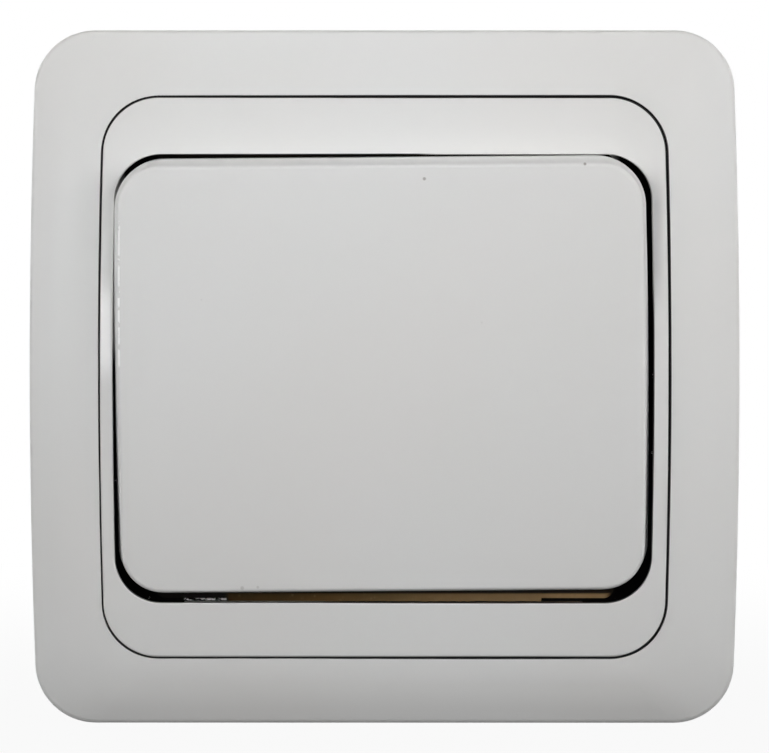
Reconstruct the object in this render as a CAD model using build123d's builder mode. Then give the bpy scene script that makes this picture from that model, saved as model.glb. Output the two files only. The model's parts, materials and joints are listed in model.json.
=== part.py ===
from build123d import *
import math
import os

# Flush wall light switch with one large rocker, in millimetres and degrees.
# X runs to the right, Z runs up and Y runs into the wall.
# The origin is the centre of the switch on the wall's surface.
# A height is a distance in front of the wall, and a depth is a distance behind it.

# Outer frame
frame_width = 82.0
frame_height = 80.0
frame_corner = 7.0
side_radius = 900.0
frame_wall = 2.0
frame_edge_height = 6.8
frame_edge_round = 0.7
edge_pick_reach = 0.01
dome_rise = 1.7
dome_shoulder_inset = 3.4
dome_shoulder_drop = 0.45
ledge_width = 1.1
ledge_thickness = 1.5
frame_rib_width = 1.2
frame_rib_spacing = 36.0
frame_rib_play = 0.3

# Insert plate, the centre cover that the rocker looks out of
insert_width = 65.6
insert_height = 64.5
insert_corner = 6.3
insert_thickness = 2.15
insert_proud = 0.15
insert_edge_round = 0.3
seam_gap = 0.2
window_width = 62.35
window_height = 51.7
window_corner = 5.3
window_shift = -0.15
window_drop = 0.16
window_edge_round = 0.2
window_rib_width = 1.0
window_rib_length = 46.0
window_rib_depth = 1.8
leg_spacing_x = 47.0
leg_spacing_z = 56.8
leg_width = 6.0
leg_thickness = 1.6
leg_clear_of_plate = 0.4
leg_barb = 0.8
leg_barb_length = 1.1
leg_barb_height = 2.0

# Rocker
rocker_tilt = 5.0
rocker_skew = 0.45
rocker_lift = 0.28
rocker_aside = -0.18
pivot_height = 6.7
face_reach = 4.0
rocker_side_clearance = 0.375
rocker_end_clearance = 0.67
side_taper = 0.45
end_taper = 0.54
knee_reach = 0.5
rim_depth = 1.8
rim_taper = 0.08
face_corner = 4.7
skirt_corner = 5.7
rocker_wall = 1.6
rocker_top = 1.8
rocker_edge_round = 0.45
rocker_rib_width = 1.2
rocker_rib_spacing = 48.0
rocker_rib_length = 38.0
rocker_rib_depth = 1.6
hook_width = 8.0
hook_thickness = 1.4
hook_play = 0.4
hook_grip = 1.0
hook_barb = 1.1

# Dolly, the inner lever that the rocker clips on
platform_width = 32.0
platform_height = 24.0
platform_thickness = 1.6
platform_gap = 0.3
platform_corner = 1.5
cheek_thickness = 1.6
cheek_radius = 3.0
trunnion_radius = 1.5
trunnion_length = 3.9
stem_radius = 3.5
stem_length = 8.7
stem_bore_radius = 2.3
stem_bore_depth = 6.7

# Plunger and its spring
plunger_clearance = 0.15
plunger_guide_length = 3.2
plunger_tip_radius = 1.1
plunger_nose_cone = 1.2
plunger_arm_gap = 0.3
spring_wire_radius = 0.22
spring_clearance = 0.2
spring_turns = 4

# Base housing
flange_side = 5.1
flange_height = 51.6
flange_thickness = 1.2
flange_corner = 1.2
tongue_width = 36.4
tongue_length = 1.2
body_side = 3.8
body_height = 38.0
body_corner = 2.5
body_depth = 17.0
ear_thickness = 2.4
ear_gap = 0.4
ear_foot_width = 8.0
ear_top_width = 6.0
ear_rise = 1.3
bearing_clearance = 0.08
bearing_mouth = 2.4
centre_pocket_width = 14.0
centre_pocket_height = 24.0

# Back cover of the base
cover_thickness = 1.8
wire_hole_radius = 1.7
peg_radius = 1.2
peg_length = 3.0
peg_clearance = 0.05
lower_peg_x = 14.0
lower_peg_z = -13.0
upper_peg_z = 15.5

# Support plate
plate_side_room = 3.5
plate_end_room = 2.5
plate_thickness = 1.0
plate_rim_height = 2.6
plate_rim_length = 30.0
plate_corner_cut = 7.0
plate_body_clearance = 0.4
fixing_slot_from_edge = 5.5
fixing_slot_length = 5.2
fixing_slot_radius = 2.1
lug_width = 8.0
lug_height = 3.6
lug_leg_gap = 0.3
lug_window_play = 0.15
lug_window_side_play = 0.3
rivet_spacing_x = 32.0
rivet_from_body = 2.7
rivet_radius = 1.2
rivet_clearance = 0.05
rivet_head_radius = 1.8
rivet_head_height = 0.5
rivet_head_clearance = 0.15

# Contacts
arm_tilt = 8.0
arm_width = 5.0
arm_length = 20.0
arm_thickness = 0.8
arm_corner = 0.8
arm_pin_radius = 0.8
arm_pin_length = 1.9
arm_pin_clearance = 0.08
contact_offset = 8.5
contact_radius = 1.3
contact_head = 0.8
contact_shank_radius = 0.7
contact_shank_clearance = 0.03
contact_gap = 0.12
strip_thickness = 0.8
strip_seat_height = 2.2
cradle_gap = 0.7
cradle_length = 5.0
strip_column_width = 2.0
strip_column_length = 4.0
strip_column_gap = 0.8
tab_slot_play = 0.2

# Screw terminals
terminal_spacing = 26.0
cage_width = 7.0
cage_height = 9.0
cage_length = 6.0
cage_wall = 1.0
cage_play = 0.15
cage_foot_height = 5.0
cage_floor_gap = 0.7
wire_space = 3.2
cage_travel = 2.4
tab_width = 3.6
tab_end_gap = 0.3
terminal_screw_radius = 1.75
terminal_head_radius = 2.8
terminal_head_height = 1.8
terminal_head_gap = 0.4
terminal_head_clearance = 0.3
screw_thread_clearance = 0.1
screw_tip_gap = 0.1
screw_slot_width = 0.8
screw_slot_depth = 0.9

# Spreading claws
claw_from_pocket = 4.9
claw_z = 9.5
claw_width = 7.0
claw_thickness = 1.0
claw_foot_depth = 14.6
claw_foot_reach = 4.3
claw_arm_gap = 0.3
claw_front_depth = 3.4
claw_tooth = 1.2
claw_tooth_length = 2.2
claw_notch_width = 2.4
claw_spread = 3.6
claw_draw = 2.7
claw_ramp_gap = 0.3
claw_pocket_wall = 1.05
claw_pocket_play = 0.6
claw_screw_radius = 1.5
claw_screw_clearance = 0.15
claw_head_radius = 2.7
claw_head_height = 1.4
claw_head_clearance = 0.5
claw_nut_width = 4.6
claw_nut_thickness = 1.6
claw_nut_gap = 0.15
claw_screw_tail = 0.3
ramp_rib_width = 1.4
ramp_rib_gap = 0.4
ramp_rib_length = 7.0

# Worked out from the sizes above
plate_width = frame_width - 2 * (frame_wall + plate_side_room)
plate_height = frame_height - 2 * (frame_wall + plate_end_room)
claw_pocket_x = terminal_spacing / 2 + cage_width / 2 + cage_play + claw_pocket_wall
claw_x = claw_pocket_x + claw_from_pocket
body_width = 2 * (claw_pocket_x + body_side)
flange_width = body_width + 2 * flange_side
fixing_spacing = plate_height - 2 * fixing_slot_from_edge
rivet_spacing_z = body_height + 2 * rivet_from_body
frame_front = frame_edge_height + dome_rise
insert_front = frame_front + insert_proud
ledge_top = insert_front - insert_thickness
ledge_bottom = ledge_top - ledge_thickness
opening_width = insert_width + 2 * seam_gap
opening_height = insert_height + 2 * seam_gap
skirt_width = window_width - 2 * rocker_side_clearance
skirt_height = window_height - 2 * rocker_end_clearance
face_width = skirt_width - 2 * side_taper
face_height = skirt_height - 2 * end_taper
rocker_inner_reach = face_reach - rocker_top
platform_front_reach = rocker_inner_reach - platform_gap
platform_back_reach = platform_front_reach - platform_thickness
flange_front = plate_thickness + flange_thickness
cover_depth = body_depth - cover_thickness
strip_back_depth = cover_depth - strip_seat_height
strip_front_depth = strip_back_depth - strip_thickness
contact_face = arm_thickness / 2 + contact_head
contact_sweep = contact_face * math.cos(math.radians(arm_tilt)) + (
    contact_offset + contact_radius
) * math.sin(math.radians(arm_tilt))
arm_pivot_depth = strip_front_depth - contact_head - contact_gap - contact_sweep
plunger_reach = pivot_height + arm_pivot_depth - arm_thickness / 2 - plunger_arm_gap
cradle_inside = arm_width / 2 + cradle_gap
column_inside = cradle_inside + strip_thickness + strip_column_gap
column_outside = column_inside + strip_column_width
cage_front_depth = cover_depth - cage_floor_gap - cage_length
tab_front_depth = strip_back_depth - tab_width
tab_end = terminal_spacing / 2 + cage_width / 2 - cage_wall - tab_end_gap
tab_bottom = cage_foot_height + cage_wall + wire_space
tab_top = tab_bottom + strip_thickness
wire_hole_z = cage_foot_height + cage_wall + wire_space / 2
terminal_head_z = cage_foot_height + cage_height + cage_travel + terminal_head_gap
claw_arm_inside = claw_x + claw_screw_radius + claw_arm_gap
claw_foot_back = claw_foot_depth + claw_thickness


def wall_plane(height):
    """Sketch plane parallel to the wall, with X to the right and Z up."""
    return Plane.XZ.offset(height)


def rocking_plane(reach):
    """Plane of the dolly, tilted about the pivot, at a distance in front of the pivot."""
    tilt = math.radians(rocker_tilt)
    forward = (0, -math.cos(tilt), -math.sin(tilt))
    return Plane(origin=(0, -pivot_height, 0), x_dir=(1, 0, 0), z_dir=forward).offset(reach)


def rocker_plane(reach):
    """Plane of the rocker, which sits a little aside, lifted and turned on the dolly."""
    seat = rocking_plane(reach)
    origin = seat.from_local_coords((window_shift + rocker_aside, rocker_lift, 0))
    skew = math.radians(rocker_skew)
    across = seat.x_dir * math.cos(skew) + seat.y_dir * math.sin(skew)
    return Plane(origin=origin, x_dir=across, z_dir=seat.z_dir)


def arm_plane(reach):
    """Plane of the contact arm at rest, at a distance in front of its pivot."""
    tilt = math.radians(arm_tilt)
    forward = (0, -math.cos(tilt), math.sin(tilt))
    return Plane(origin=(0, arm_pivot_depth, 0), x_dir=(1, 0, 0), z_dir=forward).offset(reach)


def bowed_outline(width, height, corner):
    """Outline with a straight top and bottom, sides bowed outwards and rounded corners."""
    bow = side_radius - math.sqrt(side_radius**2 - (height / 2) ** 2)
    end = width / 2 - bow
    with BuildSketch() as outline:
        with BuildLine():
            Line((-end, height / 2), (end, height / 2))
            ThreePointArc((end, height / 2), (width / 2, 0), (end, -height / 2))
            Line((end, -height / 2), (-end, -height / 2))
            ThreePointArc((-end, -height / 2), (-width / 2, 0), (-end, height / 2))
        make_face()
        fillet(outline.vertices(), corner)
    return outline.sketch


def between(x_low, x_high, z_low, z_high, corner=0):
    """Rectangle in the sketch from its corners, with rounded corners where one is given."""
    with Locations(((x_low + x_high) / 2, (z_low + z_high) / 2)):
        if corner:
            RectangleRounded(x_high - x_low, z_high - z_low, corner)
        else:
            Rectangle(x_high - x_low, z_high - z_low)


def save(piece, name):
    """Label a finished piece and write it."""
    piece.part.label = name
    export_step(piece.part, f"parts/{name}.step")


def make_outer_frame():
    """Domed surround: side wall, bowed front and an inner ledge that the insert plate rests on."""
    with BuildPart() as outer_frame:
        with BuildSketch(wall_plane(0)):
            add(bowed_outline(frame_width, frame_height, frame_corner))
        extrude(amount=frame_edge_height)
        dome = (
            (0, frame_edge_height),
            (dome_shoulder_inset, frame_front - dome_shoulder_drop),
            ((frame_width - opening_width) / 2, frame_front),
        )
        for inset, height in dome:
            tall = max(frame_height - 2 * inset, opening_height)
            corner = frame_corner - (frame_corner - insert_corner) * inset / dome[-1][0]
            with BuildSketch(wall_plane(height)):
                add(bowed_outline(frame_width - 2 * inset, tall, corner))
        loft()
        shoulder = outer_frame.edges().filter_by_position(
            Axis.Y, -frame_edge_height - edge_pick_reach, -frame_edge_height + edge_pick_reach
        )
        fillet(shoulder, frame_edge_round)
        with BuildSketch(wall_plane(0)):
            add(
                bowed_outline(
                    frame_width - 2 * frame_wall, frame_height - 2 * frame_wall, frame_corner - frame_wall
                )
            )
        extrude(amount=ledge_bottom, mode=Mode.SUBTRACT)
        with BuildSketch(wall_plane(0)):
            add(
                bowed_outline(
                    insert_width - 2 * ledge_width,
                    insert_height - 2 * ledge_width,
                    insert_corner - ledge_width,
                )
            )
        extrude(amount=frame_front, mode=Mode.SUBTRACT)
        with BuildSketch(wall_plane(ledge_top)):
            add(bowed_outline(opening_width, opening_height, insert_corner + seam_gap))
        extrude(amount=frame_front, mode=Mode.SUBTRACT)
        # Ribs on the inside of the wall keep the frame centred on the support plate
        rib_x = plate_width / 2 + frame_rib_play
        rib_z = plate_height / 2 + frame_rib_play
        inside_x = frame_width / 2 - frame_wall / 2
        inside_z = frame_height / 2 - frame_wall / 2
        with BuildSketch(wall_plane(0)):
            for sign in (-1, 1):
                for place in (-frame_rib_spacing / 2, frame_rib_spacing / 2):
                    with Locations((sign * (rib_x + inside_x) / 2, place)):
                        Rectangle(inside_x - rib_x, frame_rib_width)
                    with Locations((place, sign * (rib_z + inside_z) / 2)):
                        Rectangle(frame_rib_width, inside_z - rib_z)
        extrude(amount=ledge_bottom)
    save(outer_frame, "outer_frame")


def make_insert_plate():
    """Flat centre cover with the rocker's window and four snap legs."""
    with BuildPart() as insert_plate:
        with BuildSketch(wall_plane(ledge_top)):
            add(bowed_outline(insert_width, insert_height, insert_corner))
        extrude(amount=insert_thickness)
        fillet(insert_plate.faces().sort_by(Axis.Y)[0].edges(), insert_edge_round)
        # Ribs behind the window's long edges stiffen the plate
        with BuildSketch(wall_plane(ledge_top - window_rib_depth)):
            with Locations((window_shift, -window_drop)):
                with GridLocations(0, window_height + window_rib_width, 1, 2):
                    Rectangle(window_rib_length, window_rib_width)
        extrude(amount=window_rib_depth + insert_thickness / 2)
        with BuildSketch(wall_plane(ledge_top)):
            with Locations((window_shift, -window_drop)):
                add(bowed_outline(window_width, window_height, window_corner))
        extrude(amount=insert_thickness, mode=Mode.SUBTRACT)
        fillet(insert_plate.faces().sort_by(Axis.Y)[0].inner_wires().edges(), window_edge_round)
        leg_tip = plate_thickness + leg_clear_of_plate
        with BuildSketch(wall_plane(leg_tip)):
            with GridLocations(leg_spacing_x, leg_spacing_z, 2, 2):
                Rectangle(leg_width, leg_thickness)
        extrude(amount=ledge_top - leg_tip)
        # Each leg's barb points away from the middle, with a ramp towards its tip
        for side in (-1, 1):
            barb_root = side * (leg_spacing_z + leg_thickness) / 2
            barb_top = leg_barb_height + leg_barb_length
            for x in (-leg_spacing_x / 2, leg_spacing_x / 2):
                with BuildSketch(Plane.YZ.offset(x)):
                    with BuildLine():
                        Polyline(
                            (-barb_top, barb_root),
                            (-barb_top, barb_root + side * leg_barb),
                            (-leg_barb_height, barb_root),
                            close=True,
                        )
                    make_face()
                extrude(amount=leg_width / 2, both=True)
    save(insert_plate, "insert_plate")


def make_rocker():
    """Flat rocker with tapering walls, a rounded edge, two ribs and two clip hooks."""
    with BuildPart() as rocker:
        with BuildSketch(rocker_plane(face_reach)):
            add(bowed_outline(face_width, face_height, face_corner))
        with BuildSketch(rocker_plane(knee_reach)):
            add(bowed_outline(skirt_width, skirt_height, skirt_corner))
        loft()
        with BuildSketch(rocker_plane(knee_reach)):
            add(bowed_outline(skirt_width, skirt_height, skirt_corner))
        with BuildSketch(rocker_plane(-rim_depth)):
            add(bowed_outline(skirt_width - 2 * rim_taper, skirt_height - 2 * rim_taper, skirt_corner))
        loft()
        outwards = Axis(rocker_plane(0).origin, rocker_plane(0).z_dir)
        fillet(rocker.faces().sort_by(outwards)[-1].edges(), rocker_edge_round)
        with BuildSketch(rocker_plane(-rim_depth)):
            add(
                bowed_outline(
                    face_width - 2 * rocker_wall, face_height - 2 * rocker_wall, face_corner - rocker_wall
                )
            )
        extrude(amount=rim_depth + rocker_inner_reach, mode=Mode.SUBTRACT)
        # Ribs and hooks are rooted in the middle of the top wall
        root = rocker_inner_reach + rocker_top / 2
        with BuildSketch(rocker_plane(root)):
            with GridLocations(rocker_rib_spacing, 0, 2, 1):
                Rectangle(rocker_rib_width, rocker_rib_length)
        extrude(amount=rocker_inner_reach - rocker_rib_depth - root)
        hook_inside = platform_height / 2 + hook_play
        hook_tip = platform_back_reach - platform_gap - hook_grip
        for side in (-1, 1):
            with BuildSketch(rocker_plane(hook_tip)):
                with Locations((-window_shift - rocker_aside, side * (hook_inside + hook_thickness / 2))):
                    Rectangle(hook_width, hook_thickness)
            extrude(amount=root - hook_tip)
            with BuildSketch(rocker_plane(hook_tip)):
                with Locations((-window_shift - rocker_aside, side * (hook_inside - hook_barb / 2))):
                    Rectangle(hook_width, hook_barb)
            extrude(amount=hook_grip)
    save(rocker, "rocker")


def make_dolly():
    """Lever behind the rocker: platform, two cheeks with trunnions and a bored stem."""
    side = platform_width / 2
    with BuildPart() as dolly:
        with BuildSketch(rocking_plane(platform_back_reach)):
            RectangleRounded(platform_width, platform_height, platform_corner)
        extrude(amount=platform_thickness)
        with BuildSketch(Plane.YZ.offset(side - cheek_thickness)):
            with Locations((-pivot_height, 0)):
                Circle(cheek_radius)
        extrude(amount=cheek_thickness)
        with BuildSketch(Plane.YZ.offset(-side)):
            with Locations((-pivot_height, 0)):
                Circle(cheek_radius)
        extrude(amount=cheek_thickness)
        with BuildSketch(rocking_plane(platform_front_reach)):
            Rectangle(platform_width, platform_height)
        extrude(amount=cheek_radius, mode=Mode.SUBTRACT)
        with BuildSketch(Plane.YZ.offset(side)):
            with Locations((-pivot_height, 0)):
                Circle(trunnion_radius)
        extrude(amount=trunnion_length)
        with BuildSketch(Plane.YZ.offset(-side)):
            with Locations((-pivot_height, 0)):
                Circle(trunnion_radius)
        extrude(amount=-trunnion_length)
        with BuildSketch(rocking_plane(-stem_length)):
            Circle(stem_radius)
        extrude(amount=stem_length + platform_back_reach)
        with BuildSketch(rocking_plane(-stem_length)):
            Circle(stem_bore_radius)
        extrude(amount=stem_bore_depth, mode=Mode.SUBTRACT)
    save(dolly, "dolly")


def make_plunger():
    """Sprung pin in the dolly's stem that tips the contact arm over."""
    guide = stem_bore_radius - plunger_clearance
    guide_back = -stem_length + plunger_clearance
    with BuildPart() as plunger:
        with BuildSketch(Plane(rocking_plane(0).origin, x_dir=(1, 0, 0), z_dir=rocking_plane(0).y_dir)):
            with BuildLine():
                tip = plunger_reach - plunger_tip_radius
                Polyline(
                    (0, -guide_back - plunger_guide_length),
                    (guide, -guide_back - plunger_guide_length),
                    (guide, -guide_back),
                    (plunger_tip_radius, -guide_back + plunger_nose_cone),
                    (plunger_tip_radius, tip),
                )
                nose = plunger_tip_radius * math.sqrt(0.5)
                ThreePointArc((plunger_tip_radius, tip), (nose, tip + nose), (0, plunger_reach))
                Line((0, plunger_reach), (0, -guide_back - plunger_guide_length))
            make_face()
        revolve(axis=Axis(rocking_plane(0).origin, rocking_plane(0).z_dir))
    save(plunger, "plunger")


def make_plunger_spring():
    """Round wire compression spring behind the plunger."""
    bore_end = -stem_length + stem_bore_depth
    guide_end = -stem_length + plunger_clearance + plunger_guide_length
    coil_radius = stem_bore_radius - spring_clearance - spring_wire_radius
    length = bore_end - guide_end - 2 * spring_wire_radius
    start = rocking_plane(guide_end + spring_wire_radius)
    with BuildPart() as plunger_spring:
        with BuildLine() as coil:
            Helix(length / spring_turns, length, coil_radius, center=start.origin, direction=start.z_dir)
        with BuildSketch(Plane(coil.line @ 0, z_dir=coil.line % 0)):
            Circle(spring_wire_radius)
        sweep(path=coil.line, is_frenet=True)
    save(plunger_spring, "plunger_spring")


def claw_pockets():
    """In the sketch: the two side pockets that the claws work in."""
    for sign in (-1, 1):
        with Locations((sign * (claw_pocket_x + body_width / 2), -sign * claw_z)):
            Rectangle(body_width, claw_width + 2 * claw_pocket_play)


def peg_circles(radius):
    """In the sketch: circles at the places of the back cover's pegs."""
    with Locations((-lower_peg_x, lower_peg_z), (lower_peg_x, lower_peg_z), (0, upper_peg_z)):
        Circle(radius)


def make_base_housing():
    """Moulded base: flange with tongues, ears for the dolly, and pockets for the works."""
    pocket_low = cage_foot_height - cage_play
    pocket_high = cage_foot_height + cage_height + cage_travel + cage_play
    with BuildPart() as base_housing:
        with BuildSketch(wall_plane(plate_thickness)):
            RectangleRounded(flange_width, flange_height, flange_corner)
            RectangleRounded(tongue_width, flange_height + 2 * tongue_length, flange_corner)
        extrude(amount=flange_thickness)
        with BuildSketch(wall_plane(plate_thickness)):
            RectangleRounded(body_width, body_height, body_corner)
        extrude(amount=-(plate_thickness + cover_depth))
        # A centre pocket for the stem and the contact arm, and one pocket for each terminal
        with BuildSketch(wall_plane(flange_front)):
            Rectangle(centre_pocket_width, centre_pocket_height)
            for x in (-terminal_spacing / 2, terminal_spacing / 2):
                reach = cage_width / 2 + cage_play
                between(x - reach, x + reach, pocket_low, pocket_high)
        extrude(amount=-(flange_front + cover_depth), mode=Mode.SUBTRACT)
        # Slots in the inner walls let each strip's tab into its terminal pocket
        with BuildSketch(wall_plane(flange_front)):
            reach = terminal_spacing / 2
            between(-reach, reach, tab_bottom - tab_slot_play, tab_top + tab_slot_play)
        extrude(amount=-(flange_front + strip_back_depth), mode=Mode.SUBTRACT)
        # Screwdriver holes from the top edge
        with BuildSketch(Plane.XY.offset(pocket_high - cage_play)):
            for x in (-terminal_spacing / 2, terminal_spacing / 2):
                with Locations((x, cage_front_depth + cage_length / 2)):
                    Circle(terminal_head_radius + terminal_head_clearance)
        extrude(amount=body_height, mode=Mode.SUBTRACT)
        # Ears with bearings that the trunnions snap into from the front
        ear_root = platform_width / 2 + ear_gap
        for sign in (-1, 1):
            with BuildSketch(Plane.YZ.offset(sign * (ear_root + ear_thickness / 2))):
                with BuildLine():
                    top = -pivot_height - ear_rise
                    Polyline(
                        (-flange_front, -ear_foot_width / 2),
                        (top, -ear_top_width / 2),
                        (top, ear_top_width / 2),
                        (-flange_front, ear_foot_width / 2),
                        close=True,
                    )
                make_face()
                with Locations((-pivot_height, 0)):
                    Circle(trunnion_radius + bearing_clearance, mode=Mode.SUBTRACT)
                with Locations((-pivot_height - ear_rise, 0)):
                    Rectangle(2 * ear_rise, bearing_mouth, mode=Mode.SUBTRACT)
            extrude(amount=ear_thickness / 2, both=True)
        # Rivet seats in the flange
        with BuildSketch(wall_plane(plate_thickness)):
            with GridLocations(rivet_spacing_x, rivet_spacing_z, 2, 2):
                Circle(rivet_radius + rivet_clearance)
        extrude(amount=flange_thickness, mode=Mode.SUBTRACT)
        with BuildSketch(wall_plane(flange_front)):
            with GridLocations(rivet_spacing_x, rivet_spacing_z, 2, 2):
                Circle(rivet_head_radius + rivet_head_clearance)
        extrude(amount=-(rivet_head_height + rivet_head_clearance), mode=Mode.SUBTRACT)
        # A side pocket for each claw, with a notch in the flange for the head of its screw
        with BuildSketch(wall_plane(0)):
            claw_pockets()
        extrude(amount=-body_depth, mode=Mode.SUBTRACT)
        head = claw_head_radius + claw_head_clearance
        with BuildSketch(wall_plane(0)):
            for sign in (-1, 1):
                with Locations((sign * (claw_x - head + flange_width / 2), -sign * claw_z)):
                    Rectangle(flange_width, 2 * head)
        extrude(amount=flange_front, mode=Mode.SUBTRACT)
        # Two ramps beside each claw's screw push the claw outwards as it is drawn forward
        slope = claw_draw / claw_spread
        foot_inside = claw_x - claw_foot_reach
        ramp_start = claw_foot_depth - claw_ramp_gap * math.hypot(1, slope)
        ramp_inside = claw_screw_radius + ramp_rib_gap
        for sign in (-1, 1):
            for low in (-ramp_inside - ramp_rib_width, ramp_inside):
                with BuildSketch(Plane.XY.offset(low - sign * claw_z)):
                    with BuildLine():
                        Polyline(
                            (sign * claw_pocket_x, ramp_start + (foot_inside - claw_pocket_x) * slope),
                            (sign * (foot_inside + claw_spread), ramp_start - claw_spread * slope),
                            (sign * claw_pocket_x, ramp_start - ramp_rib_length),
                            close=True,
                        )
                    make_face()
                extrude(amount=ramp_rib_width)
        # Blind holes for the back cover's pegs
        with BuildSketch(wall_plane(-cover_depth)):
            peg_circles(peg_radius + peg_clearance)
        extrude(amount=peg_length + peg_clearance, mode=Mode.SUBTRACT)
    save(base_housing, "base_housing")


def make_back_cover():
    """Cover pegged on behind the base, with the wire holes and the seats for the strips."""
    with BuildPart() as back_cover:
        with BuildSketch(wall_plane(-body_depth)):
            RectangleRounded(body_width, body_height, body_corner)
        extrude(amount=cover_thickness)
        with BuildSketch(wall_plane(-body_depth)):
            claw_pockets()
        extrude(amount=cover_thickness, mode=Mode.SUBTRACT)
        with BuildSketch(wall_plane(-body_depth)):
            for x in (-terminal_spacing / 2, terminal_spacing / 2):
                with Locations((x, wire_hole_z)):
                    Circle(wire_hole_radius)
        extrude(amount=cover_thickness, mode=Mode.SUBTRACT)
        with BuildSketch(wall_plane(-cover_depth)):
            Rectangle(2 * cradle_inside, cradle_length)
            column = (column_inside + column_outside) / 2
            for x in (-column, column):
                with Locations((x, cage_foot_height + strip_column_length / 2)):
                    Rectangle(strip_column_width, strip_column_length)
            with Locations((column, -contact_offset)):
                Rectangle(strip_column_width, strip_column_length)
        extrude(amount=strip_seat_height)
        with BuildSketch(wall_plane(-cover_depth)):
            peg_circles(peg_radius)
        extrude(amount=peg_length)
    save(back_cover, "back_cover")


def make_support_plate():
    """Pressed steel plate with fixing slots, an opening for the base and four bent lugs."""
    lug_inside = (leg_spacing_z + leg_thickness) / 2 + lug_leg_gap
    with BuildPart() as support_plate:
        with BuildSketch(wall_plane(0)) as outline:
            Rectangle(plate_width, plate_height)
            chamfer(outline.vertices(), plate_corner_cut)
            RectangleRounded(
                body_width + 2 * plate_body_clearance,
                body_height + 2 * plate_body_clearance,
                body_corner,
                mode=Mode.SUBTRACT,
            )
            # A small tab on each side carries the claw screw
            half = claw_head_radius + claw_head_clearance - plate_body_clearance
            for sign in (-1, 1):
                with Locations((sign * claw_x, -sign * claw_z)):
                    Rectangle(2 * half, 2 * half)
                    Circle(claw_screw_radius + claw_screw_clearance, mode=Mode.SUBTRACT)
            with GridLocations(0, fixing_spacing, 1, 2):
                SlotOverall(fixing_slot_length, 2 * fixing_slot_radius, rotation=90, mode=Mode.SUBTRACT)
            with GridLocations(rivet_spacing_x, rivet_spacing_z, 2, 2):
                Circle(rivet_radius + rivet_clearance, mode=Mode.SUBTRACT)
            # The lugs are bent up out of these openings
            with GridLocations(leg_spacing_x, 2 * (lug_inside + plate_thickness) + lug_height, 2, 2):
                Rectangle(lug_width, lug_height, mode=Mode.SUBTRACT)
        extrude(amount=plate_thickness)
        with BuildSketch(wall_plane(0)):
            with GridLocations(leg_spacing_x, 2 * lug_inside + plate_thickness, 2, 2):
                Rectangle(lug_width, plate_thickness)
        extrude(amount=plate_thickness + lug_height)
        # The left and right edges are turned up, which stiffens the plate
        with BuildSketch(wall_plane(0)):
            with GridLocations(plate_width - plate_thickness, 0, 2, 1):
                Rectangle(plate_thickness, plate_rim_length)
        extrude(amount=plate_rim_height)
        window_low = leg_barb_height - lug_window_play
        window_high = leg_barb_height + leg_barb_length + lug_window_play
        with BuildSketch(Plane.XY):
            with Locations((0, -(window_low + window_high) / 2)):
                with GridLocations(leg_spacing_x, 0, 2, 1):
                    Rectangle(leg_width + 2 * lug_window_side_play, window_high - window_low)
        extrude(amount=plate_height / 2, both=True, mode=Mode.SUBTRACT)
    save(support_plate, "support_plate")


def make_plate_rivets():
    """Four rivets that hold the base housing to the support plate."""
    seat = flange_front - rivet_head_height - rivet_head_clearance
    with BuildPart() as plate_rivets:
        for height, radius, length in (
            (0, rivet_radius, seat),
            (seat, rivet_head_radius, rivet_head_height),
            (-rivet_head_height, rivet_head_radius, rivet_head_height),
        ):
            with BuildSketch(wall_plane(height)):
                with GridLocations(rivet_spacing_x, rivet_spacing_z, 2, 2):
                    Circle(radius)
            extrude(amount=length)
    save(plate_rivets, "plate_rivets")


def make_contact_arm():
    """Rocking contact arm: a flat strip with a pivot pin on each side."""
    with BuildPart() as contact_arm:
        with BuildSketch(arm_plane(-arm_thickness / 2)):
            RectangleRounded(arm_width, arm_length, arm_corner)
            with Locations((0, -contact_offset)):
                Circle(contact_shank_radius + contact_shank_clearance, mode=Mode.SUBTRACT)
        extrude(amount=arm_thickness)
        pin_root = plunger_tip_radius + plunger_arm_gap
        pin_end = arm_width / 2 + arm_pin_length
        for sign in (-1, 1):
            with BuildSketch(Plane.YZ.offset(sign * pin_root)):
                with Locations((arm_pivot_depth, 0)):
                    Circle(arm_pin_radius)
            extrude(amount=sign * (pin_end - pin_root))
    save(contact_arm, "contact_arm")


def make_moving_contact():
    """Silver contact riveted through the arm's lower end."""
    with BuildPart() as moving_contact:
        with BuildSketch(arm_plane(-contact_face)):
            with Locations((0, -contact_offset)):
                Circle(contact_radius)
        extrude(amount=contact_head)
        with BuildSketch(arm_plane(-arm_thickness / 2)):
            with Locations((0, -contact_offset)):
                Circle(contact_shank_radius)
        extrude(amount=arm_thickness)
    save(moving_contact, "moving_contact")


def make_fixed_contact():
    """Silver contact riveted through the load strip."""
    with BuildPart() as fixed_contact:
        with BuildSketch(wall_plane(-strip_front_depth)):
            with Locations((0, -contact_offset)):
                Circle(contact_radius)
        extrude(amount=contact_head)
        with BuildSketch(wall_plane(-strip_back_depth)):
            with Locations((0, -contact_offset)):
                Circle(contact_shank_radius)
        extrude(amount=strip_thickness)
    save(fixed_contact, "fixed_contact")


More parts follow.
